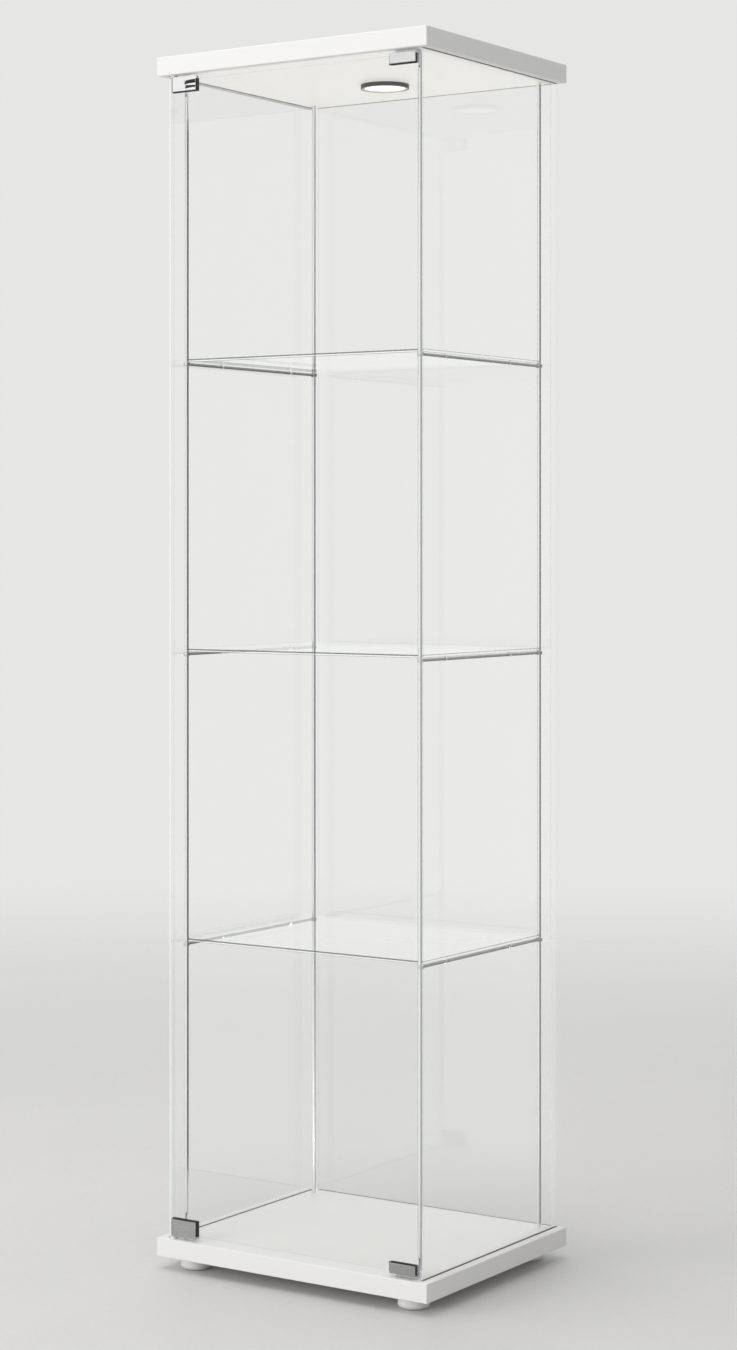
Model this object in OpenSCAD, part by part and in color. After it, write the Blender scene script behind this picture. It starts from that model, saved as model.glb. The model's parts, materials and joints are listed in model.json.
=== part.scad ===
// Tower display case: white base and top boards, four glass walls, three glass
// shelves on chromed side rails, a pivot-hung glass door and a spotlight.
// +Z is up, the door faces -Y, and the origin is on the floor under the middle.

/* [Case] */
// Width of the case, side to side
case_w = 425; // [410:1:440]
// Depth of the case, front to back
case_d = 365; // [355:1:380]
// Height of the case with its feet
case_h = 1628; // [1560:4:1700]
// Thickness of the base and top boards
board_t = 25; // [24:1:32]
// Easing on the long edges of the boards
board_ease = 0.8; // [0.4:0.2:1.2]

/* [Glass] */
// Thickness of every glass panel
glass_t = 4; // [4:0.5:5]
// Distance from a board's side edge to the side glass
side_glass_inset = 12; // [11:0.5:14]
// Distance from a board's rear edge to the back glass
back_glass_inset = 2.5; // [2:0.5:3]
// Distance from a board's front edge to the middle of the door glass
door_inset = 11.5; // [10:0.5:13]
// Depth of the grooves in the base board
groove_depth = 5; // [4:0.5:7]
// Extra depth of the grooves in the top board, for lifting a panel in
groove_lift = 3; // [2:0.5:4]
// Ground bevel on the glass edges
glass_ease = 0.5; // [0.3:0.1:0.8]

/* [Shelves] */
// Height from the base board to the middle of the lowest shelf rail
first_rail_rise = 393.5; // [380:0.5:400]
// Distance from one shelf rail to the next
shelf_pitch = 390.5; // [370:0.5:395]
// Diameter of the shelf rails
rail_d = 4; // [3.5:0.5:5]
// Diameter of the clear rings on the rails
ring_d = 5.6; // [5.4:0.1:6]
// Distance between the two rings on a rail
ring_spacing = 166; // [140:1:180]
// Middle of the ring pair on the left rail, front to back
left_ring_mid = 12; // [0:0.5:15]
// Middle of the ring pair on the right rail, front to back
right_ring_mid = -8.5; // [-12:0.5:0]

/* [Posts] */
// Diameter of the post rods
post_d = 5.5; // [5:0.1:6]
// Distance from a board's side edge to a post
post_side_inset = 28; // [27:0.5:30]
// Distance from the boards' front edge to the front posts
post_front_inset = 30; // [29:0.5:32]
// Distance from the boards' rear edge to the back posts
post_back_inset = 27; // [26:0.5:29]
// Outer diameter of the eyes on the shelf rails
eye_d = 9; // [8:0.2:9]
// Height of the eyes on the shelf rails
eye_h = 5; // [4.5:0.5:6]

/* [Door] */
// Distance from the side glass to the pivot axis
pivot_gap = 4.9; // [4.8:0.1:5.4]
// Thickness of the clips over the door glass
clip_t = 8.2; // [8.2:0.1:8.6]
// Height of the lower hinge clip
lower_clip_h = 23; // [20:0.5:26]
// Height of the upper hinge clip
upper_clip_h = 19; // [17:0.5:26]
// Length of the hinge clips past the pivot axis
hinge_clip_l = 38.3; // [30:0.1:45]
// Height of the strike plates
strike_h = 13.5; // [12:0.5:16]
// Length of the strike plates
strike_l = 39; // [34:0.5:42]
// Gap between a board and a hinge clip
clip_gap = 3; // [3:0.1:4]
// Diameter of the pivot pins
pin_d = 4; // [3.5:0.5:4]

/* [Feet] */
// Height of the feet
foot_h = 17; // [15:0.5:20]
// Diameter of the feet
foot_d = 41; // [36:1:45]
// Distance from a board's side edge to the middle of a foot
foot_side_inset = 40.5; // [38:0.5:45]
// Distance from a board's front or rear edge to the middle of a foot
foot_end_inset = 34.5; // [32:0.5:40]

/* [Spotlight] */
// Diameter of the spotlight
light_d = 66; // [60:1:72]
// Height of the spotlight under the top board
light_h = 5.5; // [5.5:0.1:6.5]
// Distance of the spotlight behind the middle of the case
light_y = 55; // [20:1:70]

/* [Hidden] */
$fn = 48;

SHELVES = ["lower", "middle", "upper"];
SIDES = ["left", "right"];
RAILS = [for (shelf = SHELVES, side = SIDES) str(shelf, "_", side, "_rail")];
POST_NAMES = ["front_left", "front_right", "back_left", "back_right"];
POSTS = [for (name = POST_NAMES, tier = [1:4]) str(name, "_post_", tier)];

// Heights
base_top = foot_h + board_t;
top_under = case_h - board_t;
mid_z = (base_top + top_under) / 2;
rail_z = [for (i = [0:2]) base_top + first_rail_rise + i * shelf_pitch];
ring_seat = 0.05;
shelf_under = [for (z = rail_z) z + ring_d / 2 + ring_seat];

// Glass walls
cut = 1;
groove_gap = 0.25;
groove_w = glass_t + 2 * groove_gap;
side_glass_x = case_w / 2 - side_glass_inset - glass_t / 2;
side_glass_in = side_glass_x - glass_t / 2;
door_y = -case_d / 2 + door_inset;
back_glass_y = case_d / 2 - back_glass_inset - glass_t / 2;
walls_rear = back_glass_y + glass_t / 2;
back_glass_w = 2 * (side_glass_in - 5.5);
wall_z0 = base_top - groove_depth;
wall_z1 = top_under + groove_depth;

// Posts
post_x = case_w / 2 - post_side_inset;
post_front_y = -case_d / 2 + post_front_inset;
post_back_y = case_d / 2 - post_back_inset;
post_at = [
    [-post_x, post_front_y], [post_x, post_front_y],
    [-post_x, post_back_y], [post_x, post_back_y]];
stud_d = 3;
stud_hole_d = 3.1;
stud_reach = 9.5;
rod_ease = 0.4;

// Post screws and their counterbores in the boards
post_screw_head_d = 12;
post_screw_head_h = 2;
post_screw_bore_d = 12.8;
post_screw_bore_h = 2.4;
post_screw_hole_d = 3.4;

// Shelves
shelf_over_rail = 2.5;
shelf_w = 2 * (post_x + shelf_over_rail);
shelf_y0 = post_front_y + post_d / 2 + 0.5;
shelf_y1 = post_back_y - post_d / 2 - 0.5;
ring_l = 4;

// Door
pivot_x = -side_glass_in + pivot_gap;
clip_wall = 1.5;
liner_t = (clip_t - 2 * clip_wall - glass_t) / 2;
web_h = 3;
rivet_h = 0.6;
rivet_d = 5;
liner_proud = 1.2;
door_z0 = base_top + clip_gap + web_h + 1;
door_z1 = 2 * mid_z - door_z0;
door_glass_x0 = pivot_x + 0.5;
door_glass_x1 = side_glass_in - 3.5;
strike_x1 = door_glass_x1 - 2;
strike_x0 = strike_x1 - strike_l;
strike_z0 = base_top + clip_gap + 1;
strike_web = door_z0 - liner_t - strike_z0;

// Hinge bush, a running fit on the pin
run_gap = 0.05;
bush_d = 7.2;
bush_flange_d = 9;
bush_flange_h = clip_gap - 0.2;
bush_l = 12;
pin_l = 10.5;
press_gap = 0.02;

// Door catch
catch_gap = 0.2;
catch_y0 = door_y + clip_t / 2 + catch_gap;
catch_l = 31;
catch_depth = 8.7;
catch_h = 12;
catch_x = (strike_x0 + strike_x1) / 2;
peg_d = 4;
peg_l = 6;
peg_span = 19;
magnet_l = 24;
magnet_depth = 5;
magnet_h = 6;

// Feet
foot_x = case_w / 2 - foot_side_inset;
foot_y = case_d / 2 - foot_end_inset;
foot_at = [[-foot_x, -foot_y], [foot_x, -foot_y], [-foot_x, foot_y], [foot_x, foot_y]];
foot_round = 5;
foot_seat = 11;

// Wood screws
screw_head_d = 7;
screw_head_h = 1.6;
screw_d = 3.8;
screw_hole_d = 3.9;
screw_l = 18;

// Spotlight
light_wall = 1.5;
light_back = 0.8;
bezel_w = 3;
bezel_h = 1.2;
diffuser_h = 1.5;
light_screw_r = light_d / 2 - 8;
lead_hole_d = 12;
gland_d = 28;
gland_h = 2.3;

// Wall plate
plate_w = 60;
plate_t = 2.4;
plate_h = 16;
plate_z = top_under + board_t / 2;
plate_screw_x = 22;
anchor_d = 4.2;

// Colours
board_white = [0.93, 0.93, 0.92];
clear_glass = [0.78, 0.88, 0.85, 0.35];
chromed = [0.75, 0.76, 0.78];
satin_steel = [0.6, 0.6, 0.6];
plain_steel = [0.5, 0.5, 0.52];
nylon_white = [0.9, 0.9, 0.88];
soft_black = [0.1, 0.1, 0.1];
silicone = [0.85, 0.87, 0.86, 0.6];

// ---- Shared shapes ----

// Rectangle with its corners cut off
module eased_rect(w, h, c)
    polygon([
        [c - w / 2, -h / 2], [w / 2 - c, -h / 2], [w / 2, c - h / 2], [w / 2, h / 2 - c],
        [w / 2 - c, h / 2], [c - w / 2, h / 2], [-w / 2, h / 2 - c], [-w / 2, c - h / 2]]);

// Box about its own middle with every edge eased
module eased_box(w, d, h, c)
    intersection() {
        linear_extrude(h, center = true) eased_rect(w, d, c);
        rotate([90, 0, 0]) linear_extrude(d, center = true) eased_rect(w, h, c);
        rotate([90, 0, 90]) linear_extrude(w, center = true) eased_rect(d, h, c);
    }

// Box from one corner to the other
module box(lo, hi)
    translate(lo) cube(hi - lo);

// Round bar with eased ends
module eased_rod(d, h, c)
    rotate_extrude()
        polygon([[0, 0], [d / 2 - c, 0], [d / 2, c], [d / 2, h - c], [d / 2 - c, h], [0, h]]);

// Same shape seen from the other board
module at_top()
    translate([0, 0, 2 * mid_z]) mirror([0, 0, 1]) children();

module at_level(upper)
    if (upper) at_top() children(); else children();

// ---- Boards ----

// Groove for a side panel, with the round front end that the cutter leaves
module side_groove(depth) {
    for (side = [-1, 1]) translate([side * side_glass_x, 0, base_top - depth]) {
        box([-groove_w / 2, door_y, 0], [groove_w / 2, walls_rear + groove_gap, depth + cut]);
        translate([0, door_y, 0]) cylinder(d = groove_w, h = depth + cut);
    }
}

module back_groove(depth)
    box([-back_glass_w / 2 - groove_gap, back_glass_y - groove_w / 2, base_top - depth],
        [back_glass_w / 2 + groove_gap, back_glass_y + groove_w / 2, base_top + cut]);

// Everything that both boards have, drawn as the base board
module plain_board(depth)
    difference() {
        translate([0, 0, foot_h + board_t / 2]) eased_box(case_w, case_d, board_t, board_ease);
        side_groove(depth);
        back_groove(depth);
        for (p = post_at) translate([p[0], p[1], foot_h - cut]) {
            cylinder(d = post_screw_bore_d, h = post_screw_bore_h + cut);
            cylinder(d = post_screw_hole_d, h = board_t + 2 * cut);
        }
        translate([pivot_x, door_y, base_top - bush_l - 0.1])
            cylinder(d = bush_d + 2 * press_gap, h = bush_l + cut);
        for (side = [-1, 1])
            translate([catch_x + side * peg_span / 2, catch_y0 + catch_depth / 2, base_top - peg_l - 0.1])
                cylinder(d = peg_d + 2 * press_gap, h = peg_l + cut);
    }

module base_board()
    color(board_white)
        difference() {
            plain_board(groove_depth);
            for (p = foot_at) translate([p[0], p[1], foot_h - cut])
                cylinder(d = screw_hole_d, h = screw_l - foot_h + foot_seat + cut + 0.5);
        }

module top_board()
    color(board_white)
        difference() {
            at_top() plain_board(groove_depth + groove_lift);
            translate([0, light_y, top_under - cut]) cylinder(d = lead_hole_d, h = board_t + 2 * cut);
            translate([0, light_y, case_h - gland_h])
                cylinder(d = gland_d + 0.4, h = gland_h + cut);
            for (side = [-1, 1]) translate([side * light_screw_r, light_y, top_under - cut])
                cylinder(d = screw_hole_d, h = screw_l + cut);
            box([-plate_w / 2, case_d / 2 - plate_t, plate_z - plate_h / 2],
                [plate_w / 2, case_d / 2 + cut, plate_z + plate_h / 2]);
            translate([0, case_d / 2, plate_z]) rotate([90, 0, 0]) {
                cylinder(d = 6, h = 18);
                for (side = [-1, 1]) translate([side * plate_screw_x, 0, 0])
                    cylinder(d = screw_hole_d, h = screw_l + plate_t);
            }
        }

// ---- Glass ----

module side_glass(side)
    color(clear_glass)
        translate([side * side_glass_x, (door_y + walls_rear) / 2, (wall_z0 + wall_z1) / 2])
            eased_box(glass_t, walls_rear - door_y, wall_z1 - wall_z0, glass_ease);

module back_glass()
    color(clear_glass)
        translate([0, back_glass_y, (wall_z0 + wall_z1) / 2])
            eased_box(back_glass_w, glass_t, wall_z1 - wall_z0, glass_ease);

module door_glass()
    color(clear_glass)
        translate([(door_glass_x0 + door_glass_x1) / 2, door_y, mid_z])
            eased_box(door_glass_x1 - door_glass_x0, glass_t, door_z1 - door_z0, glass_ease);

module shelf_glass(level)
    color(clear_glass)
        translate([0, (shelf_y0 + shelf_y1) / 2, shelf_under[level] + glass_t / 2])
            eased_box(shelf_w, shelf_y1 - shelf_y0, glass_t, glass_ease);

// ---- Shelf rails, rings and posts ----

// Rail under one side of a shelf, welded to an eye at each post
module shelf_rail(level, side) {
    front = post_at[side];
    back = post_at[side + 2];
    color(chromed)
        translate([0, 0, rail_z[level]])
            difference() {
                union() {
                    translate([front[0], front[1], 0]) rotate([-90, 0, 0])
                        cylinder(d = rail_d, h = back[1] - front[1]);
                    for (p = [front, back]) translate([p[0], p[1], -eye_h / 2])
                        eased_rod(eye_d, eye_h, rod_ease);
                }
                for (p = [front, back]) translate([p[0], p[1], -eye_h / 2 - cut])
                    cylinder(d = stud_hole_d, h = eye_h + 2 * cut);
            }
}

module ring()
    rotate([90, 0, 0]) translate([0, 0, -ring_l / 2])
        difference() {
            eased_rod(ring_d, ring_l, rod_ease);
            translate([0, 0, -cut]) cylinder(d = rail_d + 2 * press_gap, h = ring_l + 2 * cut);
        }

module shelf_rings()
    color(silicone)
        for (z = rail_z, end = [-1, 1]) {
            translate([-post_x, left_ring_mid + end * ring_spacing / 2, z]) ring();
            translate([post_x, right_ring_mid + end * ring_spacing / 2, z]) ring();
        }

// Lower and upper end of the rod in a tier, counted from 0 at the base
function rod_z0(tier) = tier == 0 ? base_top : rail_z[tier - 1] + eye_h / 2;
function rod_z1(tier) = tier == 3 ? top_under : rail_z[tier] - eye_h / 2;

module post_rod(corner, tier) {
    length = rod_z1(tier) - rod_z0(tier);
    hole_l = stud_reach + 0.5;
    color(chromed)
        translate([post_at[corner][0], post_at[corner][1], rod_z0(tier)])
            difference() {
                eased_rod(post_d, length, rod_ease);
                translate([0, 0, -cut]) cylinder(d = stud_hole_d, h = hole_l + cut);
                translate([0, 0, length - hole_l]) cylinder(d = stud_hole_d, h = hole_l + cut);
            }
}

// Threaded studs that join the rods through the eyes
module post_studs()
    color(plain_steel)
        for (p = post_at, z = rail_z)
            translate([p[0], p[1], z - eye_h / 2 - stud_reach])
                eased_rod(stud_d, eye_h + 2 * stud_reach, rod_ease);

// Flat-headed screw with a hexagon socket, head down
module post_screw() {
    socket = 4.6;
    difference() {
        union() {
            eased_rod(post_screw_head_d, post_screw_head_h, rod_ease);
            translate([0, 0, post_screw_head_h - 0.1])
                eased_rod(stud_d, board_t - post_screw_bore_h + stud_reach + 0.1, rod_ease);
        }
        translate([0, 0, -cut]) cylinder(d = socket, h = cut + 1.2, $fn = 6);
    }
}

module post_screws() {
    head_z = foot_h + post_screw_bore_h - post_screw_head_h;
    color(chromed)
        for (p = post_at) {
            translate([p[0], p[1], head_z]) post_screw();
            at_top() translate([p[0], p[1], head_z]) post_screw();
        }
}

// ---- Door hardware, drawn at the base board ----

function hinge_clip_h(upper) = upper ? upper_clip_h : lower_clip_h;

// Outline of a hinge clip from above, round about the pivot axis
module hinge_clip_outline() {
    translate([pivot_x, door_y]) circle(d = clip_t);
    translate([pivot_x, door_y - clip_t / 2]) square([hinge_clip_l, clip_t]);
}

// Channel in a hinge clip that holds the glass and its liner
module hinge_channel(length, half) {
    translate([pivot_x, door_y]) circle(r = half);
    translate([pivot_x, door_y - half]) square([length, 2 * half]);
}

module hinge_clip(upper)
    color(chromed)
        at_level(upper)
            translate([0, 0, base_top + clip_gap])
                difference() {
                    linear_extrude(hinge_clip_h(upper)) hinge_clip_outline();
                    translate([0, 0, web_h]) linear_extrude(hinge_clip_h(upper))
                        hinge_channel(hinge_clip_l + cut, glass_t / 2 + liner_t);
                    translate([pivot_x, door_y, -cut])
                        cylinder(d = pin_d + 2 * press_gap, h = web_h + 2 * cut);
                }

// Rubber liner between a hinge clip and the glass, proud of the metal
module hinge_liner(upper) {
    floor_z = base_top + clip_gap + web_h + rivet_h;
    color(soft_black)
        at_level(upper)
            difference() {
                translate([0, 0, floor_z])
                    linear_extrude(hinge_clip_h(upper) - web_h - rivet_h + liner_proud)
                        hinge_channel(hinge_clip_l + liner_proud, glass_t / 2 + liner_t);
                box([door_glass_x0, door_y - glass_t / 2, door_z0],
                    [pivot_x + hinge_clip_l + 2 * liner_proud, door_y + glass_t / 2, mid_z]);
            }
}

// Pivot pin, riveted over inside the clip
module hinge_pin(upper)
    color(plain_steel)
        at_level(upper)
            translate([pivot_x, door_y, 0]) {
                z0 = base_top - pin_l + clip_gap;
                translate([0, 0, z0]) eased_rod(pin_d, pin_l + web_h, rod_ease);
                translate([0, 0, base_top + clip_gap + web_h])
                    cylinder(d = rivet_d, h = rivet_h);
            }

// Flanged bush that the pin turns in and that carries the door
module hinge_bush(upper)
    color(nylon_white)
        at_level(upper)
            translate([pivot_x, door_y, base_top])
                difference() {
                    union() {
                        translate([0, 0, -bush_l]) cylinder(d = bush_d, h = bush_l + 1);
                        cylinder(d = bush_flange_d, h = bush_flange_h);
                    }
                    translate([0, 0, 1 - bush_l])
                        cylinder(d = pin_d + 2 * run_gap, h = bush_l + clip_gap);
                }

// Steel clip at the door's free corner, drawn by the magnet
module strike_plate(upper)
    color(satin_steel)
        at_level(upper)
            difference() {
                translate([(strike_x0 + strike_x1) / 2, door_y, strike_z0 + strike_h / 2])
                    eased_box(strike_l, clip_t, strike_h, rod_ease);
                box([strike_x0 - cut, door_y - glass_t / 2 - liner_t, strike_z0 + strike_web],
                    [strike_x1 + cut, door_y + glass_t / 2 + liner_t, strike_z0 + strike_h + cut]);
            }

module strike_liner(upper)
    color(soft_black)
        at_level(upper)
            difference() {
                box([strike_x0 - liner_proud, door_y - glass_t / 2 - liner_t, strike_z0 + strike_web],
                    [strike_x1 + liner_proud, door_y + glass_t / 2 + liner_t,
                     strike_z0 + strike_h + liner_proud]);
                box([strike_x0 - 2 * liner_proud, door_y - glass_t / 2, door_z0],
                    [strike_x1 + 2 * liner_proud, door_y + glass_t / 2, mid_z]);
            }

// Block behind the strike plate that stops the door and holds the magnet
module catch_housing(upper) {
    floor_gap = (catch_h - magnet_h) / 2;
    color(nylon_white)
        at_level(upper)
            translate([catch_x, catch_y0, base_top])
                difference() {
                    union() {
                        translate([0, catch_depth / 2, catch_h / 2])
                            eased_box(catch_l, catch_depth, catch_h, rod_ease);
                        for (side = [-1, 1])
                            translate([side * peg_span / 2, catch_depth / 2, -peg_l])
                                cylinder(d = peg_d, h = peg_l + 1);
                    }
                    box([-magnet_l / 2, -cut, floor_gap],
                        [magnet_l / 2, magnet_depth + 0.3, catch_h - floor_gap]);
                }
}

module catch_magnets()
    color(plain_steel)
        for (upper = [false, true]) at_level(upper)
            translate([catch_x, catch_y0 + 0.3 + magnet_depth / 2, base_top + catch_h / 2])
                eased_box(magnet_l, magnet_depth, magnet_h, rod_ease);

// ---- Feet and wood screws ----

// Half outline of a foot, with its lower edge rounded
function foot_outline() = concat(
    [[0, 0]],
    [for (a = [-90:15:0]) [foot_d / 2 - foot_round * (1 - cos(a)), foot_round * (1 + sin(a))]],
    [[foot_d / 2 - 0.5, foot_h], [0, foot_h]]);

module foot(corner)
    color(nylon_white)
        translate([foot_at[corner][0], foot_at[corner][1], 0])
            difference() {
                rotate_extrude($fn = 72) polygon(foot_outline());
                translate([0, 0, -cut]) cylinder(d = screw_head_d + 1.4, h = foot_seat + cut);
                translate([0, 0, -cut]) cylinder(d = screw_hole_d, h = foot_h + 2 * cut);
            }

// Wood screw that points up, with its head below z = 0
module wood_screw()
    difference() {
        union() {
            translate([0, 0, -screw_head_h]) eased_rod(screw_head_d, screw_head_h, rod_ease);
            translate([0, 0, -0.1]) eased_rod(screw_d, screw_l - 1.9, rod_ease);
            translate([0, 0, screw_l - 2.5]) cylinder(d1 = screw_d - 0.8, d2 = 0.6, h = 2.5);
        }
        for (a = [0, 90]) rotate(a)
            box([-1.8, -0.4, -screw_head_h - cut], [1.8, 0.4, 0.9 - screw_head_h]);
    }

module wood_screws()
    color(plain_steel) {
        for (p = foot_at) translate([p[0], p[1], foot_seat]) wood_screw();
        for (side = [-1, 1]) {
            translate([side * light_screw_r, light_y, top_under - light_back]) wood_screw();
            translate([side * plate_screw_x, case_d / 2 - screw_head_h, plate_z])
                rotate([90, 0, 0]) wood_screw();
        }
    }

// ---- Spotlight ----

module light_housing()
    color(soft_black)
        translate([0, light_y, top_under - light_h])
            difference() {
                cylinder(d = light_d, h = light_h, $fn = 72);
                translate([0, 0, -cut])
                    cylinder(d = light_d - 2 * light_wall, h = light_h - light_back + cut, $fn = 72);
                cylinder(d = 8, h = light_h + cut);
                for (side = [-1, 1]) translate([side * light_screw_r, 0, 0])
                    cylinder(d = screw_hole_d, h = light_h + cut);
            }

// Light ring pressed into the mouth of the housing
module light_bezel()
    color(satin_steel)
        translate([0, light_y, top_under - light_h])
            difference() {
                cylinder(d = light_d - 2 * light_wall - 0.1, h = bezel_h, $fn = 72);
                translate([0, 0, -cut])
                    cylinder(d = light_d - 2 * light_wall - 2 * bezel_w, h = bezel_h + 2 * cut, $fn = 72);
            }

module light_diffuser()
    color([1, 0.97, 0.88])
        translate([0, light_y, top_under - light_h + bezel_h])
            cylinder(d = light_d - 2 * light_wall - 0.6, h = diffuser_h, $fn = 72);

// Round circuit board with a ring of light-emitting chips
module light_board() {
    chip = 2.8;
    color([0.9, 0.9, 0.85])
        translate([0, light_y, top_under - light_back]) {
            translate([0, 0, -1]) cylinder(d = 38, h = 1);
            for (a = [0:30:330]) rotate(a)
                translate([14, 0, -1.3]) cube([chip, chip, 0.8], center = true);
        }
}

// Bush for the light's lead, flush with the top
module cable_gland()
    color(nylon_white)
        translate([0, light_y, case_h - gland_h])
            difference() {
                union() {
                    eased_rod(gland_d, gland_h, rod_ease);
                    translate([0, 0, -13]) cylinder(d = lead_hole_d - 0.2, h = 14);
                }
                translate([0, 0, -13 - cut]) cylinder(d = 7, h = 13 + gland_h + 2 * cut);
            }

// ---- Wall anchor ----

// Steel plate let into the rear edge, tapped for a wall strap
module wall_plate()
    color(satin_steel)
        difference() {
            translate([0, case_d / 2 - plate_t / 2, plate_z])
                cube([plate_w - 0.2, plate_t, plate_h - 0.2], center = true);
            translate([0, case_d / 2 + cut, plate_z]) rotate([90, 0, 0]) {
                cylinder(d = anchor_d, h = plate_t + 2 * cut);
                for (side = [-1, 1]) translate([side * plate_screw_x, 0, 0]) {
                    cylinder(d = screw_hole_d, h = plate_t + 2 * cut);
                    cylinder(d = screw_head_d + 0.4, h = screw_head_h + cut);
                }
            }
        }

// ---- Nodes ----

base_board();
top_board();
side_glass(-1);  // left_side_glass
side_glass(1);  // right_side_glass
back_glass();
door_glass();
for (i = [0:2]) {
    shelf_glass(i);
    for (side = [0, 1])
        shelf_rail(i, side);
}
shelf_rings();
for (corner = [0:3]) {
    foot(corner);
    for (tier = [0:3])
        post_rod(corner, tier);
}
post_studs();
post_screws();
for (upper = [false, true]) {
    level = upper ? "upper" : "lower";
    hinge_clip(upper);
    hinge_liner(upper);
    hinge_pin(upper);
    hinge_bush(upper);
    strike_plate(upper);
    strike_liner(upper);
    catch_housing(upper);
}
catch_magnets();
wood_screws();
light_housing();
light_bezel();
light_diffuser();
light_board();
cable_gland();
wall_plate();
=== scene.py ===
"""Looks of the tower display case: camera, studio, procedural materials and small visual pieces.

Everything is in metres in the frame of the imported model: +Z up, the door towards -Y.
"""
import json
import math

import bmesh
import bpy
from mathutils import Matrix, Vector


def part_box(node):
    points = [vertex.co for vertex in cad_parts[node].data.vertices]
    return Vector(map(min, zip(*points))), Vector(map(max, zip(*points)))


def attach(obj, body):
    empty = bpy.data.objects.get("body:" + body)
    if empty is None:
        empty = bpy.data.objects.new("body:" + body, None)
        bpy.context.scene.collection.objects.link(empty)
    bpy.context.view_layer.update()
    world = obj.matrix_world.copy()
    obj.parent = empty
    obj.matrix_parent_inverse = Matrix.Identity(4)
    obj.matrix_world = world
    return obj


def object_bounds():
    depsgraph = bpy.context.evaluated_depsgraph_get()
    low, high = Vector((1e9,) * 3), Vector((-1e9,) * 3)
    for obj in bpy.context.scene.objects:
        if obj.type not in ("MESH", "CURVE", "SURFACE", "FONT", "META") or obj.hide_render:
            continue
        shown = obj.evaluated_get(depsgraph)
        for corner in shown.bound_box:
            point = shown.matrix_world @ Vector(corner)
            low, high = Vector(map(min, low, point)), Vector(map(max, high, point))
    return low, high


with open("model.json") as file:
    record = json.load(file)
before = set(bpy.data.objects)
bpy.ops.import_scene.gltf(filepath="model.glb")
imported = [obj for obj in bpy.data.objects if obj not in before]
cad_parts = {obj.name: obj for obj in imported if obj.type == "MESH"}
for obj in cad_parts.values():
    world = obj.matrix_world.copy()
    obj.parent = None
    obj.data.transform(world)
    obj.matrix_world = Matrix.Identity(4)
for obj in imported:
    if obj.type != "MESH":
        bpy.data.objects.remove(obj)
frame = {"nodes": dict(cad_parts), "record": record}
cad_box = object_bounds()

SLOT_OF = {part["node"]: part["material_slot"] for part in frame["record"]["subparts"]}
SHELVES = ("lower", "middle", "upper")
MM = 0.001

# ---- Node helpers ----


def put(tree, kind, inputs=None, **settings):
    """Adds a shader node. inputs maps a socket's name or number to a value or to another socket."""
    node = tree.nodes.new("ShaderNode" + kind)
    for name, value in settings.items():
        setattr(node, name, value)
    for name, value in (inputs or {}).items():
        if isinstance(value, bpy.types.NodeSocket):
            tree.links.new(value, node.inputs[name])
        else:
            node.inputs[name].default_value = value
    return node


def maths(tree, operation, a, b=0.0):
    """A Math node's result."""
    return put(tree, "Math", {0: a, 1: b}, operation=operation).outputs[0]


def remap(tree, value, low, high, to_low=0.0, to_high=1.0, smooth=True):
    """value from low..high to to_low..to_high, held at both ends."""
    return put(
        tree, "MapRange",
        {"Value": value, "From Min": low, "From Max": high, "To Min": to_low, "To Max": to_high},
        interpolation_type="SMOOTHSTEP" if smooth else "LINEAR").outputs[0]


def blend(tree, factor, a, b):
    """The colour between a and b."""
    node = put(tree, "Mix", {0: factor}, data_type="RGBA")
    for socket, colour in ((node.inputs[6], a), (node.inputs[7], b)):
        if isinstance(colour, bpy.types.NodeSocket):
            tree.links.new(colour, socket)
        else:
            socket.default_value = (*colour, 1.0)
    return node.outputs[2]


def place(tree):
    """The point on the surface in the frame's own metres."""
    return put(tree, "TexCoord").outputs["Object"]


def coordinate(tree, axis):
    """The surface point's place along X, Y or Z, for an axis of 0, 1 or 2."""
    return put(tree, "SeparateXYZ", {0: place(tree)}).outputs[axis]


def offset(tree, point):
    """The vector from a fixed point to the surface point."""
    return put(tree, "VectorMath", {0: place(tree), 1: point}, operation="SUBTRACT").outputs[0]


def noise(tree, per_metre, detail=2.0, stretch=(1.0, 1.0, 1.0), seed=0.0):
    """Noise with about per_metre blotches to the metre, drawn out along an axis where stretch is small."""
    moved = put(
        tree, "Mapping",
        {"Vector": place(tree), "Scale": stretch, "Location": (seed, seed, seed)}).outputs[0]
    return put(tree, "TexNoise", {"Vector": moved, "Scale": per_metre, "Detail": detail}).outputs["Fac"]


def bump(tree, height, depth, strength=1.0, normal=None):
    """A normal bumped by height, depth metres from the lowest to the highest."""
    inputs = {"Height": height, "Distance": depth, "Strength": strength}
    if normal:
        inputs["Normal"] = normal
    return put(tree, "Bump", inputs).outputs["Normal"]


def new_material(name):
    """An empty material and its tree."""
    material = bpy.data.materials.new(name)
    material.use_nodes = True
    material.node_tree.nodes.clear()
    return material, material.node_tree


def show(tree, shader):
    """Sends a shader to the material's output."""
    tree.links.new(shader, put(tree, "OutputMaterial").inputs["Surface"])


def principled(tree, inputs):
    """A Principled shader's output."""
    return put(tree, "BsdfPrincipled", inputs).outputs["BSDF"]


def mixed(tree, factor, first, second):
    """first where factor is 0 and second where it is 1."""
    return put(tree, "MixShader", {0: factor, 1: first, 2: second}).outputs[0]


# ---- Materials ----


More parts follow.
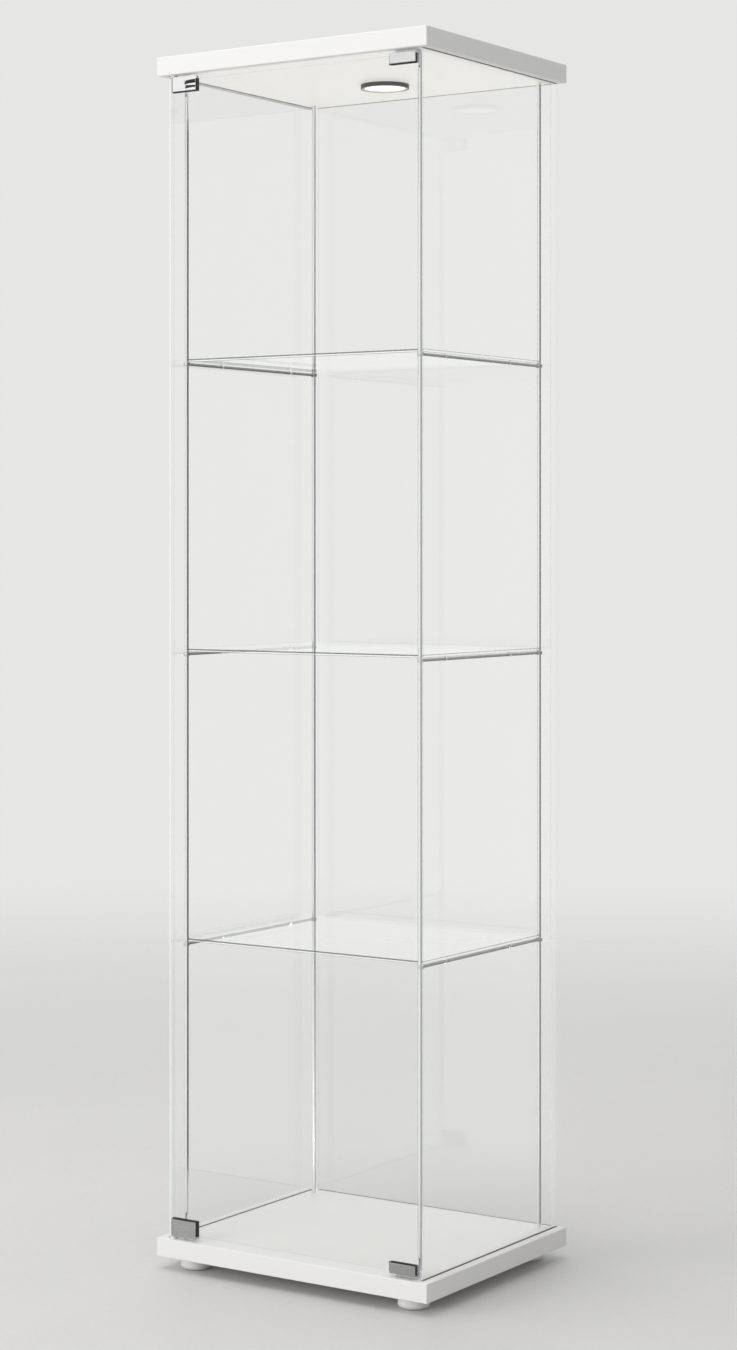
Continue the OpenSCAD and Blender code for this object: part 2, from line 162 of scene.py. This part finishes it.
def foil_board(node):
    """White foil on board: a soft mottle, the edge band's seam, and bare particle board in every cut."""
    low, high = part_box(node)
    material, tree = new_material("white_foil_" + node)
    middle, half = (low + high) / 2, (high - low) / 2
    gaps = [
        maths(tree, "SUBTRACT", half[i],
              maths(tree, "ABSOLUTE", maths(tree, "SUBTRACT", coordinate(tree, i), middle[i])))
        for i in (0, 1)]
    side_gap = maths(tree, "MINIMUM", *gaps)

    # The edge band ends in a fine dark seam, and the foil is a little darker and warmer towards the rim.
    band, seam_half, rim_width = 1.3 * MM, 0.35 * MM, 14 * MM
    off_seam = maths(tree, "ABSOLUTE", maths(tree, "SUBTRACT", side_gap, band))
    seam = remap(tree, off_seam, 0.0, seam_half, 1.0, 0.0)
    rim = remap(tree, side_gap, 0.0, rim_width, 1.0, 0.0)
    cloud = noise(tree, 7, 4.0)
    grain = noise(tree, 1500, 2.0)
    peel = noise(tree, 320, 1.0)
    white = blend(tree, cloud, (0.83, 0.826, 0.815), (0.865, 0.862, 0.853))
    white = blend(tree, maths(tree, "MULTIPLY", rim, 0.25), white, (0.80, 0.79, 0.77))
    white = blend(tree, maths(tree, "MULTIPLY", seam, 0.22), white, (0.55, 0.54, 0.52))

    # Below the foil, the bare board shows in grooves and holes.
    skin = 0.3 * MM
    height = coordinate(tree, 2)
    under_skin = maths(tree, "MINIMUM", maths(tree, "SUBTRACT", height, low[2]),
                       maths(tree, "SUBTRACT", high[2], height))
    core = maths(tree, "MULTIPLY", remap(tree, under_skin, skin, 2 * skin),
                 remap(tree, side_gap, 1.5 * MM, 2 * MM))
    flakes = put(tree, "TexVoronoi", {"Vector": place(tree), "Scale": 480.0}).outputs["Color"]
    flake = put(tree, "SeparateXYZ", {0: flakes}).outputs[0]
    bare = blend(tree, flake, (0.17, 0.12, 0.07), (0.34, 0.26, 0.17))
    rough = remap(tree, noise(tree, 60, 5.0, seed=3.0), 0.3, 0.7, 0.34, 0.46)
    raised = maths(tree, "SUBTRACT", grain, maths(tree, "MULTIPLY", seam, 1.5))
    normal = bump(tree, peel, 0.03 * MM, 0.4, bump(tree, raised, 0.02 * MM, 0.5))
    show(tree, principled(tree, {
        "Base Color": blend(tree, core, white, bare),
        "Roughness": maths(tree, "MAXIMUM", rough, maths(tree, "MULTIPLY", core, 0.9)),
        "Normal": normal, "Coat Weight": 0.12, "Coat Roughness": 0.25}))
    return material


def sheet_glass(node):
    """Clear glass: faces that only mirror and let light through, pale satin ground edges, painted dark lines
    and a painted glow.
    """
    low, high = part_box(node)
    thin = min(range(3), key=lambda i: (high - low)[i])
    lies_flat = thin == 2
    material, tree = new_material("clear_glass_" + node)
    # facing is 1 on the two broad faces, 0 on the edges and in between on the bevels.
    normal = put(tree, "SeparateXYZ", {0: put(tree, "TexCoord").outputs["Normal"]})
    facing = maths(tree, "ABSOLUTE", normal.outputs[thin])
    edge = remap(tree, facing, 0.85, 0.95, 1.0, 0.0)

    # The pane doesn't bend light, so it reflects alike from both faces. The Fresnel node turns the index over
    # on a back face, so it is given there the other way up.
    inside = put(tree, "NewGeometry").outputs["Backfacing"]
    glass_index, shelf_mirror = 1.5, 0.55
    index = remap(tree, inside, 0.0, 1.0, glass_index, 1 / glass_index, smooth=False)
    mirror_share = put(tree, "Fresnel", {"IOR": index}).outputs[0]
    if lies_flat:
        # A weaker mirror keeps the rails seen through the shelves.
        mirror_share = maths(tree, "MULTIPLY", mirror_share, shelf_mirror)
    wipe = noise(tree, 9, 5.0, stretch=(1.0, 1.0, 0.35), seed=len(node))
    clear = put(tree, "BsdfTransparent", {
        "Color": blend(tree, wipe, (0.995, 0.997, 0.995), (0.999, 1.0, 0.998))}).outputs[0]
    mirror = put(tree, "BsdfAnisotropic", {
        "Color": (0.98, 0.98, 0.97, 1.0),
        "Roughness": remap(tree, wipe, 0.35, 0.75, 0.01, 0.04)}).outputs[0]
    pane = mixed(tree, mirror_share, clear, mirror)

    # The bevels hold a painted dark line, painted shade and reflection in place of what refraction shows, and
    # so does the top of a shelf's edge, wider at its front and back than at its sides. The rest of an edge
    # has a
    # painted glow: an emission that stands in for the light that the sheet guides to it.
    ground = noise(tree, 700, 3.0, seed=2.0)
    across = coordinate(tree, thin)
    bevel = remap(tree, facing, 0.3, 0.5)
    if lies_flat:
        at_side = remap(tree, maths(tree, "ABSOLUTE", normal.outputs[0]), 0.7, 0.8)
        end_line, side_line = 1.8 * MM, 0.7 * MM
        line = remap(tree, at_side, 0.0, 1.0, high[2] - end_line, high[2] - side_line)
        shade = maths(tree, "MAXIMUM", bevel, maths(tree, "GREATER_THAN", across, line))
        pale, painted_line_tint, painted_line_see_through = (0.90, 0.94, 0.92), (0.10, 0.12, 0.115), (0.28, 0.33, 0.31)
        body, painted_edge_glow = 0.3, remap(tree, shade, 0.0, 1.0, 0.4, 0.0)
    else:
        shade = bevel
        pale, painted_line_tint, painted_line_see_through = (0.84, 0.87, 0.86), (0.60, 0.64, 0.63), (0.80, 0.84, 0.83)
        body, painted_edge_glow = 0.25, 0.35
    # The core's emission is a painted glow on the edges, which are no lamp.
    core = principled(tree, {
        "Base Color": blend(tree, shade, blend(tree, ground, [c - 0.05 for c in pale], pale), painted_line_tint),
        "Roughness": remap(tree, ground, 0.2, 0.8, 0.3, 0.45),
        "Normal": bump(tree, ground, 0.008 * MM, 0.5),
        "Emission Color": (0.97, 1.0, 0.985, 1.0), "Emission Strength": painted_edge_glow})
    glow = put(tree, "BsdfTransparent", {
        "Color": blend(tree, shade, (0.97, 0.985, 0.98), painted_line_see_through)}).outputs[0]
    faint = put(tree, "BsdfTransparent", {"Color": (0.97, 0.985, 0.98, 1.0)}).outputs[0]
    rim = mixed(tree, inside, mixed(tree, body, glow, core), faint)
    show(tree, mixed(tree, edge, pane, rim))
    return material


def chrome_rod(node):
    """Chromed rod: bright, with faint handling marks and a slow waver in its surface."""
    material, tree = new_material("chromed_rod")
    marks = noise(tree, 240, 4.0)
    waver = noise(tree, 45, 1.0, seed=5.0)
    show(tree, principled(tree, {
        "Base Color": blend(tree, marks, (0.84, 0.845, 0.85), (0.92, 0.925, 0.93)),
        "Metallic": 1.0,
        "Roughness": remap(tree, marks, 0.3, 0.75, 0.05, 0.14),
        "Normal": bump(tree, waver, 0.04 * MM, 0.5)}))
    return material


def hazed_rod(node):
    """Chromed rod with a milky haze over it, as on the back left post."""
    material, tree = new_material("hazed_chrome_rod")
    marks = noise(tree, 60, 2.0, seed=8.0)
    show(tree, principled(tree, {
        "Base Color": blend(tree, marks, (0.88, 0.885, 0.89), (0.95, 0.955, 0.96)),
        "Metallic": 0.96,
        "Roughness": remap(tree, marks, 0.3, 0.75, 0.28, 0.36),
        "Normal": bump(tree, noise(tree, 45, 1.0, seed=5.0), 0.01 * MM, 0.5)}))
    return material


def rail_chrome(node):
    """Chrome of a shelf rail: painted darker along the rod as painted shade, with drawn lines, and painted
    bright on the eyes at its ends as a painted highlight.
    """
    low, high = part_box(node)
    material, tree = new_material("rail_chrome_" + node)
    from_middle = maths(
        tree, "ABSOLUTE", maths(tree, "SUBTRACT", coordinate(tree, 1), (low + high)[1] / 2))
    half, eye_starts, eye_full = (high - low)[1] / 2, 9 * MM, 7 * MM
    eye = remap(tree, from_middle, half - eye_starts, half - eye_full)
    drawn = noise(tree, 1500, 3.0, stretch=(1.0, 0.02, 1.0))
    marks = noise(tree, 200, 4.0, seed=3.0)
    # The rod's colour is painted dark as painted shade, and the eyes at its ends are painted bright as a
    # painted highlight.
    show(tree, principled(tree, {
        "Base Color": blend(tree, eye, blend(tree, marks, (0.18, 0.18, 0.18), (0.28, 0.28, 0.28)),
                            (0.74, 0.745, 0.75)),
        "Metallic": 1.0,
        "Roughness": remap(tree, marks, 0.3, 0.75, 0.12, 0.24),
        "Normal": bump(tree, drawn, 0.006 * MM, 0.4)}))
    return material


def clip_chrome(node):
    """Polished chrome of the upper hinge clip, drawn in towards its free end by the polishing mop."""
    low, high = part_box(node)
    material, tree = new_material("chrome_" + node)
    swirl = noise(tree, 30, 2.0, stretch=(1.0, 1.0, 3.0), seed=1.0)
    hair = noise(tree, 900, 3.0, stretch=(0.06, 1.0, 1.0))
    along = coordinate(tree, 0)
    streaks = remap(tree, noise(tree, 110, 1.0, stretch=(0.12, 1.0, 1.0), seed=4.0), 0.38, 0.62, 0.1, 1.0)
    ramp = remap(tree, along, low[0] + 0.45 * (high - low)[0], high[0], smooth=False)
    mopped = maths(tree, "MULTIPLY", maths(tree, "MULTIPLY", ramp, ramp), streaks)
    show(tree, principled(tree, {
        "Base Color": blend(tree, swirl, (0.84, 0.84, 0.845), (0.93, 0.93, 0.93)),
        "Metallic": 1.0,
        "Roughness": remap(tree, hair, 0.35, 0.75, 0.03, 0.07),
        "Normal": bump(tree, mopped, 1.3 * MM, 1.0, bump(tree, hair, 0.002 * MM, 0.3))}))
    return material


def shaded_lower_chrome(node):
    """Chrome of the lower hinge clip: rougher than the upper clip, and its colour painted darker as painted
    shade.
    """
    material, tree = new_material("shaded_lower_chrome")
    swirl = noise(tree, 30, 2.0, stretch=(1.0, 1.0, 3.0), seed=1.0)
    hair = noise(tree, 900, 3.0, stretch=(0.06, 1.0, 1.0))
    # Its base colour is painted dark as painted shade.
    show(tree, principled(tree, {
        "Base Color": blend(tree, swirl, (0.47, 0.47, 0.47), (0.58, 0.58, 0.58)),
        "Metallic": 1.0,
        "Roughness": remap(tree, hair, 0.35, 0.75, 0.22, 0.34),
        "Normal": bump(tree, hair, 0.003 * MM, 0.3)}))
    return material


def satin_steel(node):
    """Steel brushed along X, as on the strike plates: lit and shaded copies, the upper one painted brighter
    and the lower one painted darker.
    """
    material, tree = new_material("satin_steel_" + node)
    # Painted light and shade: the upper plate's colour is painted bright and the lower plate's painted dark.
    if node.startswith("upper"):
        dull, full = (0.88, 0.88, 0.875), (0.96, 0.96, 0.95)
    else:
        dull, full = (0.44, 0.44, 0.435), (0.56, 0.56, 0.55)
    lines = noise(tree, 2600, 3.0, stretch=(0.02, 1.0, 1.0))
    tone = noise(tree, 60, 3.0, stretch=(0.3, 1.0, 1.0), seed=4.0)
    show(tree, principled(tree, {
        "Base Color": blend(tree, tone, dull, full),
        "Metallic": 1.0,
        "Roughness": remap(tree, lines, 0.3, 0.7, 0.24, 0.4),
        "Anisotropic": 0.5,
        "Normal": bump(tree, lines, 0.01 * MM, 0.5)}))
    return material


def turned_ring(node):
    """Steel spun round the spotlight's own axis, with the rings that the lathe leaves."""
    low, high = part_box(node)
    middle = (low + high) / 2
    material, tree = new_material("turned_steel")
    flat = put(
        tree, "VectorMath", {0: offset(tree, middle), 1: (1.0, 1.0, 0.0)}, operation="MULTIPLY").outputs[0]
    radius = put(tree, "VectorMath", {0: flat}, operation="LENGTH").outputs["Value"]
    rings = put(tree, "TexNoise", {
        "W": maths(tree, "MULTIPLY", radius, 5000.0), "Scale": 1.0, "Detail": 2.0},
        noise_dimensions="1D").outputs["Fac"]
    show(tree, principled(tree, {
        "Base Color": blend(tree, rings, (0.50, 0.50, 0.49), (0.66, 0.66, 0.65)),
        "Metallic": 1.0,
        "Roughness": remap(tree, rings, 0.3, 0.7, 0.22, 0.36),
        "Normal": bump(tree, rings, 0.02 * MM, 0.5)}))
    return material


def zinc_steel(node):
    """Zinc-plated steel with a fine spangle and a faint blue and straw bloom."""
    material, tree = new_material("zinc_plated_steel")
    cells = put(tree, "TexVoronoi", {"Vector": place(tree), "Scale": 420.0}).outputs["Distance"]
    bloom = noise(tree, 90, 4.0)
    show(tree, principled(tree, {
        "Base Color": blend(tree, bloom, (0.47, 0.49, 0.53), (0.60, 0.58, 0.52)),
        "Metallic": 1.0,
        "Roughness": remap(tree, cells, 0.1, 0.7, 0.26, 0.42),
        "Normal": bump(tree, cells, 0.01 * MM, 0.4)}))
    return material


def weld_steel():
    """Chromed weld bead, a little duller and rougher than the rod."""
    material, tree = new_material("chromed_weld")
    ripple = noise(tree, 1400, 3.0)
    show(tree, principled(tree, {
        "Base Color": blend(tree, ripple, (0.55, 0.55, 0.56), (0.78, 0.78, 0.79)),
        "Metallic": 1.0,
        "Roughness": remap(tree, ripple, 0.3, 0.7, 0.14, 0.3),
        "Normal": bump(tree, ripple, 0.08 * MM, 0.6)}))
    return material


def magnet_nickel(node):
    """Nickel-plated magnet with rubbed corners and small dark nicks."""
    material, tree = new_material("nickel_plate")
    nicks = remap(tree, noise(tree, 500, 5.0), 0.62, 0.7)
    show(tree, principled(tree, {
        "Base Color": blend(tree, nicks, (0.55, 0.53, 0.49), (0.22, 0.21, 0.20)),
        "Metallic": 1.0,
        "Roughness": remap(tree, nicks, 0.0, 1.0, 0.2, 0.55)}))
    return material


def black_rubber(node):
    """Matt rubber with a dusty bloom."""
    material, tree = new_material("black_rubber")
    bloom = noise(tree, 130, 5.0)
    skin = noise(tree, 1800, 2.0)
    show(tree, principled(tree, {
        "Base Color": blend(tree, bloom, (0.018, 0.018, 0.018), (0.055, 0.054, 0.052)),
        "Roughness": remap(tree, skin, 0.3, 0.7, 0.62, 0.84),
        "Normal": bump(tree, skin, 0.03 * MM, 0.5)}))
    return material


def clear_silicone(node):
    """Soft clear silicone, a little cloudy."""
    material, tree = new_material("clear_silicone")
    cloud = noise(tree, 500, 3.0)
    show(tree, principled(tree, {
        "Base Color": blend(tree, cloud, (0.80, 0.83, 0.82), (0.90, 0.92, 0.91)),
        "Transmission Weight": 0.7, "IOR": 1.41,
        "Roughness": remap(tree, cloud, 0.3, 0.7, 0.22, 0.38)}))
    return material


def moulded_plastic(node):
    """White moulded plastic with a spark-eroded skin, greyer towards the floor where feet get scuffed."""
    low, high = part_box(node)
    material, tree = new_material("white_plastic_" + node)
    skin = noise(tree, 2200, 3.0)
    cloud = noise(tree, 40, 3.0, seed=6.0)
    height = coordinate(tree, 2)
    scuffed = remap(tree, height, 0.0, 6 * MM, 1.0, 0.0)
    scuffs = maths(tree, "MULTIPLY", scuffed, noise(tree, 260, 5.0, seed=8.0))
    white = blend(tree, cloud, (0.74, 0.74, 0.73), (0.80, 0.80, 0.79))
    show(tree, principled(tree, {
        "Base Color": blend(tree, scuffs, white, (0.38, 0.37, 0.35)),
        "Roughness": remap(tree, skin, 0.3, 0.7, 0.42, 0.58),
        "Normal": bump(tree, skin, 0.03 * MM, 0.6),
        "Subsurface Weight": 0.08, "Subsurface Scale": 0.004}))
    return material


def black_coat(node):
    """Satin black powder coat with its fine orange peel."""
    material, tree = new_material("black_powder_coat")
    peel = noise(tree, 900, 2.0)
    tone = noise(tree, 60, 3.0, seed=7.0)
    show(tree, principled(tree, {
        "Base Color": blend(tree, tone, (0.006, 0.006, 0.006), (0.012, 0.0115, 0.011)),
        "Roughness": remap(tree, peel, 0.3, 0.7, 0.36, 0.52),
        "Specular IOR Level": 0.2,
        "Normal": bump(tree, peel, 0.03 * MM, 0.5)}))
    return material


def lit_diffuser(node):
    """Opal plastic lit from behind by the ring of chips: warm, brightest over them, dimmer at the rim."""
    low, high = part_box(node)
    middle, radius = (low + high) / 2, (high - low)[0] / 2
    material, tree = new_material("lit_opal_plastic")
    out = put(tree, "VectorMath", {0: offset(tree, middle)}, operation="LENGTH").outputs["Value"]
    rim = remap(tree, out, 0.55 * radius, radius)
    grain = noise(tree, 700, 2.0)
    show(tree, principled(tree, {
        "Base Color": blend(tree, grain, (0.84, 0.82, 0.77), (0.88, 0.86, 0.81)),
        "Roughness": 0.4,
        "Emission Color": blend(tree, rim, (1.0, 0.97, 0.90), (1.0, 0.90, 0.76)),
        "Emission Strength": remap(tree, rim, 0.0, 1.0, 0.6, 0.42)}))
    return material


def circuit_board(node):
    """White solder mask, with yellow phosphor on what stands out of it."""
    low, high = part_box(node)
    material, tree = new_material("circuit_board")
    height = coordinate(tree, 2)
    chip = remap(tree, height, low[2] + 0.5 * MM, low[2] + 0.6 * MM, 1.0, 0.0)
    mask = blend(tree, noise(tree, 300, 3.0), (0.80, 0.80, 0.76), (0.86, 0.86, 0.83))
    show(tree, principled(tree, {
        "Base Color": blend(tree, chip, mask, (0.85, 0.62, 0.12)),
        "Roughness": remap(tree, noise(tree, 900, 2.0, seed=2.0), 0.3, 0.7, 0.3, 0.45)}))
    return material


LOOKS = {
    "white_board": foil_board, "clear_glass": sheet_glass, "chrome": chrome_rod,
    "clear_silicone": clear_silicone, "plain_steel": zinc_steel, "satin_steel": satin_steel,
    "black_rubber": black_rubber, "white_plastic": moulded_plastic, "magnet": magnet_nickel,
    "black_paint": black_coat, "opal_plastic": lit_diffuser, "circuit_board": circuit_board}
OWN_LOOKS = {
    **{"back_left_post_" + str(tier): hazed_rod for tier in (1, 2, 3, 4)},
    **{shelf + "_" + side + "_rail": rail_chrome for shelf in SHELVES for side in ("left", "right")},
    "lower_hinge_clip": shaded_lower_chrome, "upper_hinge_clip": clip_chrome,
    "light_bezel": turned_ring, "wall_plate": zinc_steel}
ONE_EACH = (foil_board, sheet_glass, moulded_plastic, clip_chrome, satin_steel, rail_chrome)


def dress_nodes():
    """Gives every CAD node its look. A look that doesn't depend on the node is made once."""
    made = {}
    for name, piece in frame["nodes"].items():
        look = OWN_LOOKS.get(name, LOOKS[SLOT_OF[name]])
        key = name if look in ONE_EACH else look
        if key not in made:
            made[key] = look(name)
        piece.data.materials.clear()
        piece.data.materials.append(made[key])


# ---- Welds ----


def weld_ring(builder, centre, along, rod_radius, leg, turns=40, steps=6):
    """A concave, faintly rippled fillet round a rod along Y, from the eye at centre outwards."""
    ripples, ripple_depth = 9, 0.08
    rows = []
    for i in range(steps + 1):
        angle = math.pi / 2 * i / steps
        out = leg * (1 - math.sin(angle))
        forth = leg * (1 - math.cos(angle))
        row = []
        for j in range(turns):
            around = 2 * math.pi * j / turns
            radius = rod_radius + out * (1 + ripple_depth * math.sin(ripples * around))
            row.append(builder.verts.new((
                centre[0] + radius * math.cos(around), centre[1] + along * forth,
                centre[2] + radius * math.sin(around))))
        rows.append(row)
    for i in range(steps):
        for j in range(turns):
            k = (j + 1) % turns
            builder.faces.new((rows[i][j], rows[i][k], rows[i + 1][k], rows[i + 1][j]))
    builder.faces.new(rows[0])
    builder.faces.new(rows[-1])


def rail_welds():
    """The weld between each shelf rail and the eye at its end, one piece to a shelf."""
    rod_radius, leg = 2.0 * MM, 0.9 * MM
    steel = weld_steel()
    for shelf in SHELVES:
        builder = bmesh.new()
        for side in ("left", "right"):
            low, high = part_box(shelf + "_" + side + "_rail")
            eye_radius = (high - low)[0] / 2
            # The fillet starts where the rod leaves the eye's round side.
            start = math.sqrt(eye_radius ** 2 - (rod_radius + leg) ** 2)
            middle = (low + high) / 2
            for end, along in ((low[1] + eye_radius, 1), (high[1] - eye_radius, -1)):
                weld_ring(builder, (middle[0], end + along * start, middle[2]), along, rod_radius, leg)
        bmesh.ops.recalc_face_normals(builder, faces=builder.faces)
        mesh = bpy.data.meshes.new(shelf + "_rail_welds")
        builder.to_mesh(mesh)
        builder.free()
        mesh.shade_smooth()
        piece = bpy.data.objects.new(shelf + "_rail_welds", mesh)
        bpy.context.scene.collection.objects.link(piece)
        piece.data.materials.append(steel)
        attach(piece, "case")


# ---- Studio ----

KEY_SIDE = math.radians(-118)    # where the key light stands, from +X towards +Y
DARK_SIDE = math.radians(36)     # middle of the dark flag that shades the right of every rod
SIDE_GAP = math.radians(57)      # bright gap in it, which the side glass mirrors to the camera
LEFT_FLAG = math.radians(198)    # middle of a narrow and weak flag on the left
CLIP_FLAG = math.radians(-141)   # middle of a small flag, raised for the polished clip to mirror
DIM_SIDE = math.radians(5)       # middle of the dimmer side of the soft fill


def toward(angle, distance, height):
    """A point at an angle round the case."""
    return Vector((distance * math.cos(angle), distance * math.sin(angle), height))


def studio_world():
    """Plain pale to the camera. Metal and glass mirror a bright room with dark flags and a dark floor, and
    everything else gets a soft fill."""
    world = bpy.data.worlds.new("studio")
    world.use_nodes = True
    tree = world.node_tree
    tree.nodes.clear()
    way = put(tree, "TexCoord").outputs["Generated"]
    level = put(tree, "VectorMath", {0: way, 1: (1.0, 1.0, 0.0)}, operation="MULTIPLY").outputs[0]
    level = put(tree, "VectorMath", {0: level}, operation="NORMALIZE").outputs[0]

    def sector(angle, inner, outer):
        """1 within inner degrees of an angle round the case, 0 beyond outer degrees."""
        along = put(tree, "VectorMath", {0: level, 1: toward(angle, 1.0, 0.0)}, operation="DOT_PRODUCT")
        edges = [math.cos(math.radians(a)) for a in (outer, inner)]
        return remap(tree, along.outputs["Value"], *edges)

    # Each pair says between which heights of the way looked, from -1 to 1, an edge is drawn.
    height = put(tree, "SeparateXYZ", {0: way}).outputs[2]
    flag_top, small_bottom, small_top, floor_line = (0.17, 0.24), (0.125, 0.135), (0.6, 0.7), (-0.32, -0.2)
    wall_colour, flag_colour, floor_colour = (0.96, 0.96, 0.96), (0.045, 0.045, 0.047), (0.20, 0.19, 0.18)
    no_gap = maths(tree, "SUBTRACT", 1.0, sector(SIDE_GAP, 4.2, 5.4))
    dark = maths(tree, "MULTIPLY", sector(DARK_SIDE, 78, 82), no_gap)
    dark = maths(tree, "MAXIMUM", dark, maths(tree, "MULTIPLY", sector(LEFT_FLAG, 8, 20), 0.55))
    dark = maths(tree, "MULTIPLY", dark, remap(tree, height, *flag_top, 1.0, 0.0))
    small = maths(
        tree, "MULTIPLY", sector(CLIP_FLAG, 12.0, 12.8), remap(tree, height, *small_top, 1.0, 0.0))
    small = maths(tree, "MULTIPLY", small, remap(tree, height, *small_bottom))
    dark = maths(tree, "MAXIMUM", dark, small)
    walls = blend(tree, dark, wall_colour, flag_colour)
    floor = remap(tree, height, *floor_line, 1.0, 0.0)
    mirrored = put(
        tree, "Background", {"Color": blend(tree, floor, walls, floor_colour), "Strength": 1.0}).outputs[0]
    soft = maths(tree, "MULTIPLY", sector(DIM_SIDE, 22, 60), 0.55)
    fill = put(tree, "Background", {
        "Color": blend(tree, soft, (0.93, 0.935, 0.94), (0.30, 0.30, 0.30)), "Strength": 0.78}).outputs[0]
    seen = put(tree, "Background", {"Color": (0.79, 0.79, 0.785, 1.0), "Strength": 1.0}).outputs[0]
    path = put(tree, "LightPath")
    unseen = mixed(tree, path.outputs["Is Glossy Ray"], fill, mirrored)
    tree.links.new(mixed(tree, path.outputs["Is Camera Ray"], unseen, seen),
                   put(tree, "OutputWorld").inputs["Surface"])
    bpy.context.scene.world = world


def lamp(name, place_at, aim, power, colour=(1.0, 1.0, 1.0), **settings):
    """An area lamp that neither the camera nor a mirror sees."""
    data = bpy.data.lights.new(name, "AREA")
    data.energy, data.color = power, colour
    for setting, value in settings.items():
        setattr(data, setting, value)
    unit = bpy.data.objects.new(name, data)
    bpy.context.scene.collection.objects.link(unit)
    unit.location = place_at
    unit.rotation_euler = (aim - place_at).to_track_quat("-Z", "Y").to_euler()
    unit.visible_camera = False
    unit.visible_glossy = False


def studio_lamps():
    """A broad key light, a weak overhead one, the spotlight's glow and its light coming back off the base."""
    low, high = cad_box
    middle = (low + high) / 2
    lamp("key", toward(KEY_SIDE, 6.0, 1.3), middle, 128.0, (1.0, 0.985, 0.96), size=2.6)
    lamp("overhead", Vector((-0.4, -0.6, 4.0)), middle, 40.0, size=2.4)
    low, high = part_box("light_diffuser")
    below_light, above_base = 6 * MM, 10 * MM
    glow = Vector(((low[0] + high[0]) / 2, (low[1] + high[1]) / 2, low[2] - below_light))
    base = Vector((middle[0], middle[1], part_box("base_board")[1][2] + above_base))
    lamp("spotlight_glow", glow, base, 3.0, (1.0, 0.91, 0.80), shape="DISK", size=high[0] - low[0])
    lamp("base_bounce", base, glow, 15.0, (1.0, 0.965, 0.915), size=0.25)


def pale_floor():
    """A plain floor that fades into the background away from the case."""
    reach, fade_from, fade_to = 14.0, 0.9, 4.5
    mesh = bpy.data.meshes.new("floor")
    corners = [(x * reach, y * reach, 0.0) for x, y in ((-1, -1), (1, -1), (1, 1), (-1, 1))]
    mesh.from_pydata(corners, [], [(0, 1, 2, 3)])
    floor = bpy.data.objects.new("floor", mesh)
    bpy.context.scene.collection.objects.link(floor)
    material, tree = new_material("pale_floor")
    cloud = noise(tree, 3, 4.0)
    matt = principled(tree, {
        "Base Color": blend(tree, cloud, (0.66, 0.655, 0.645), (0.70, 0.695, 0.685)),
        "Roughness": remap(tree, noise(tree, 120, 3.0), 0.3, 0.7, 0.45, 0.6)})
    away = put(tree, "VectorMath", {0: place(tree)}, operation="LENGTH").outputs["Value"]
    gone = put(tree, "BsdfTransparent").outputs[0]
    show(tree, mixed(tree, remap(tree, away, fade_from, fade_to), matt, gone))
    mesh.materials.append(material)
    floor.visible_glossy = False    # metal and glass mirror the world's own dark floor


def camera():
    """The camera stands level to the right of the door and is shifted down and to the right."""
    data = bpy.data.cameras.new("camera")
    data.sensor_fit = "AUTO"
    data.sensor_width = 36.0
    data.lens = 75.63
    data.shift_x, data.shift_y = 0.082, -0.0989
    data.clip_start, data.clip_end = 0.05, 100.0
    eye = bpy.data.objects.new("camera", data)
    bpy.context.scene.collection.objects.link(eye)
    eye.location = (2.0805, -3.2328, 0.9775)
    eye.rotation_euler = (math.radians(90), 0.0, math.radians(34.892))
    bpy.context.scene.camera = eye


bpy.context.scene.view_settings.view_transform = "Standard"
camera()
studio_world()
pale_floor()
dress_nodes()
rail_welds()
studio_lamps()
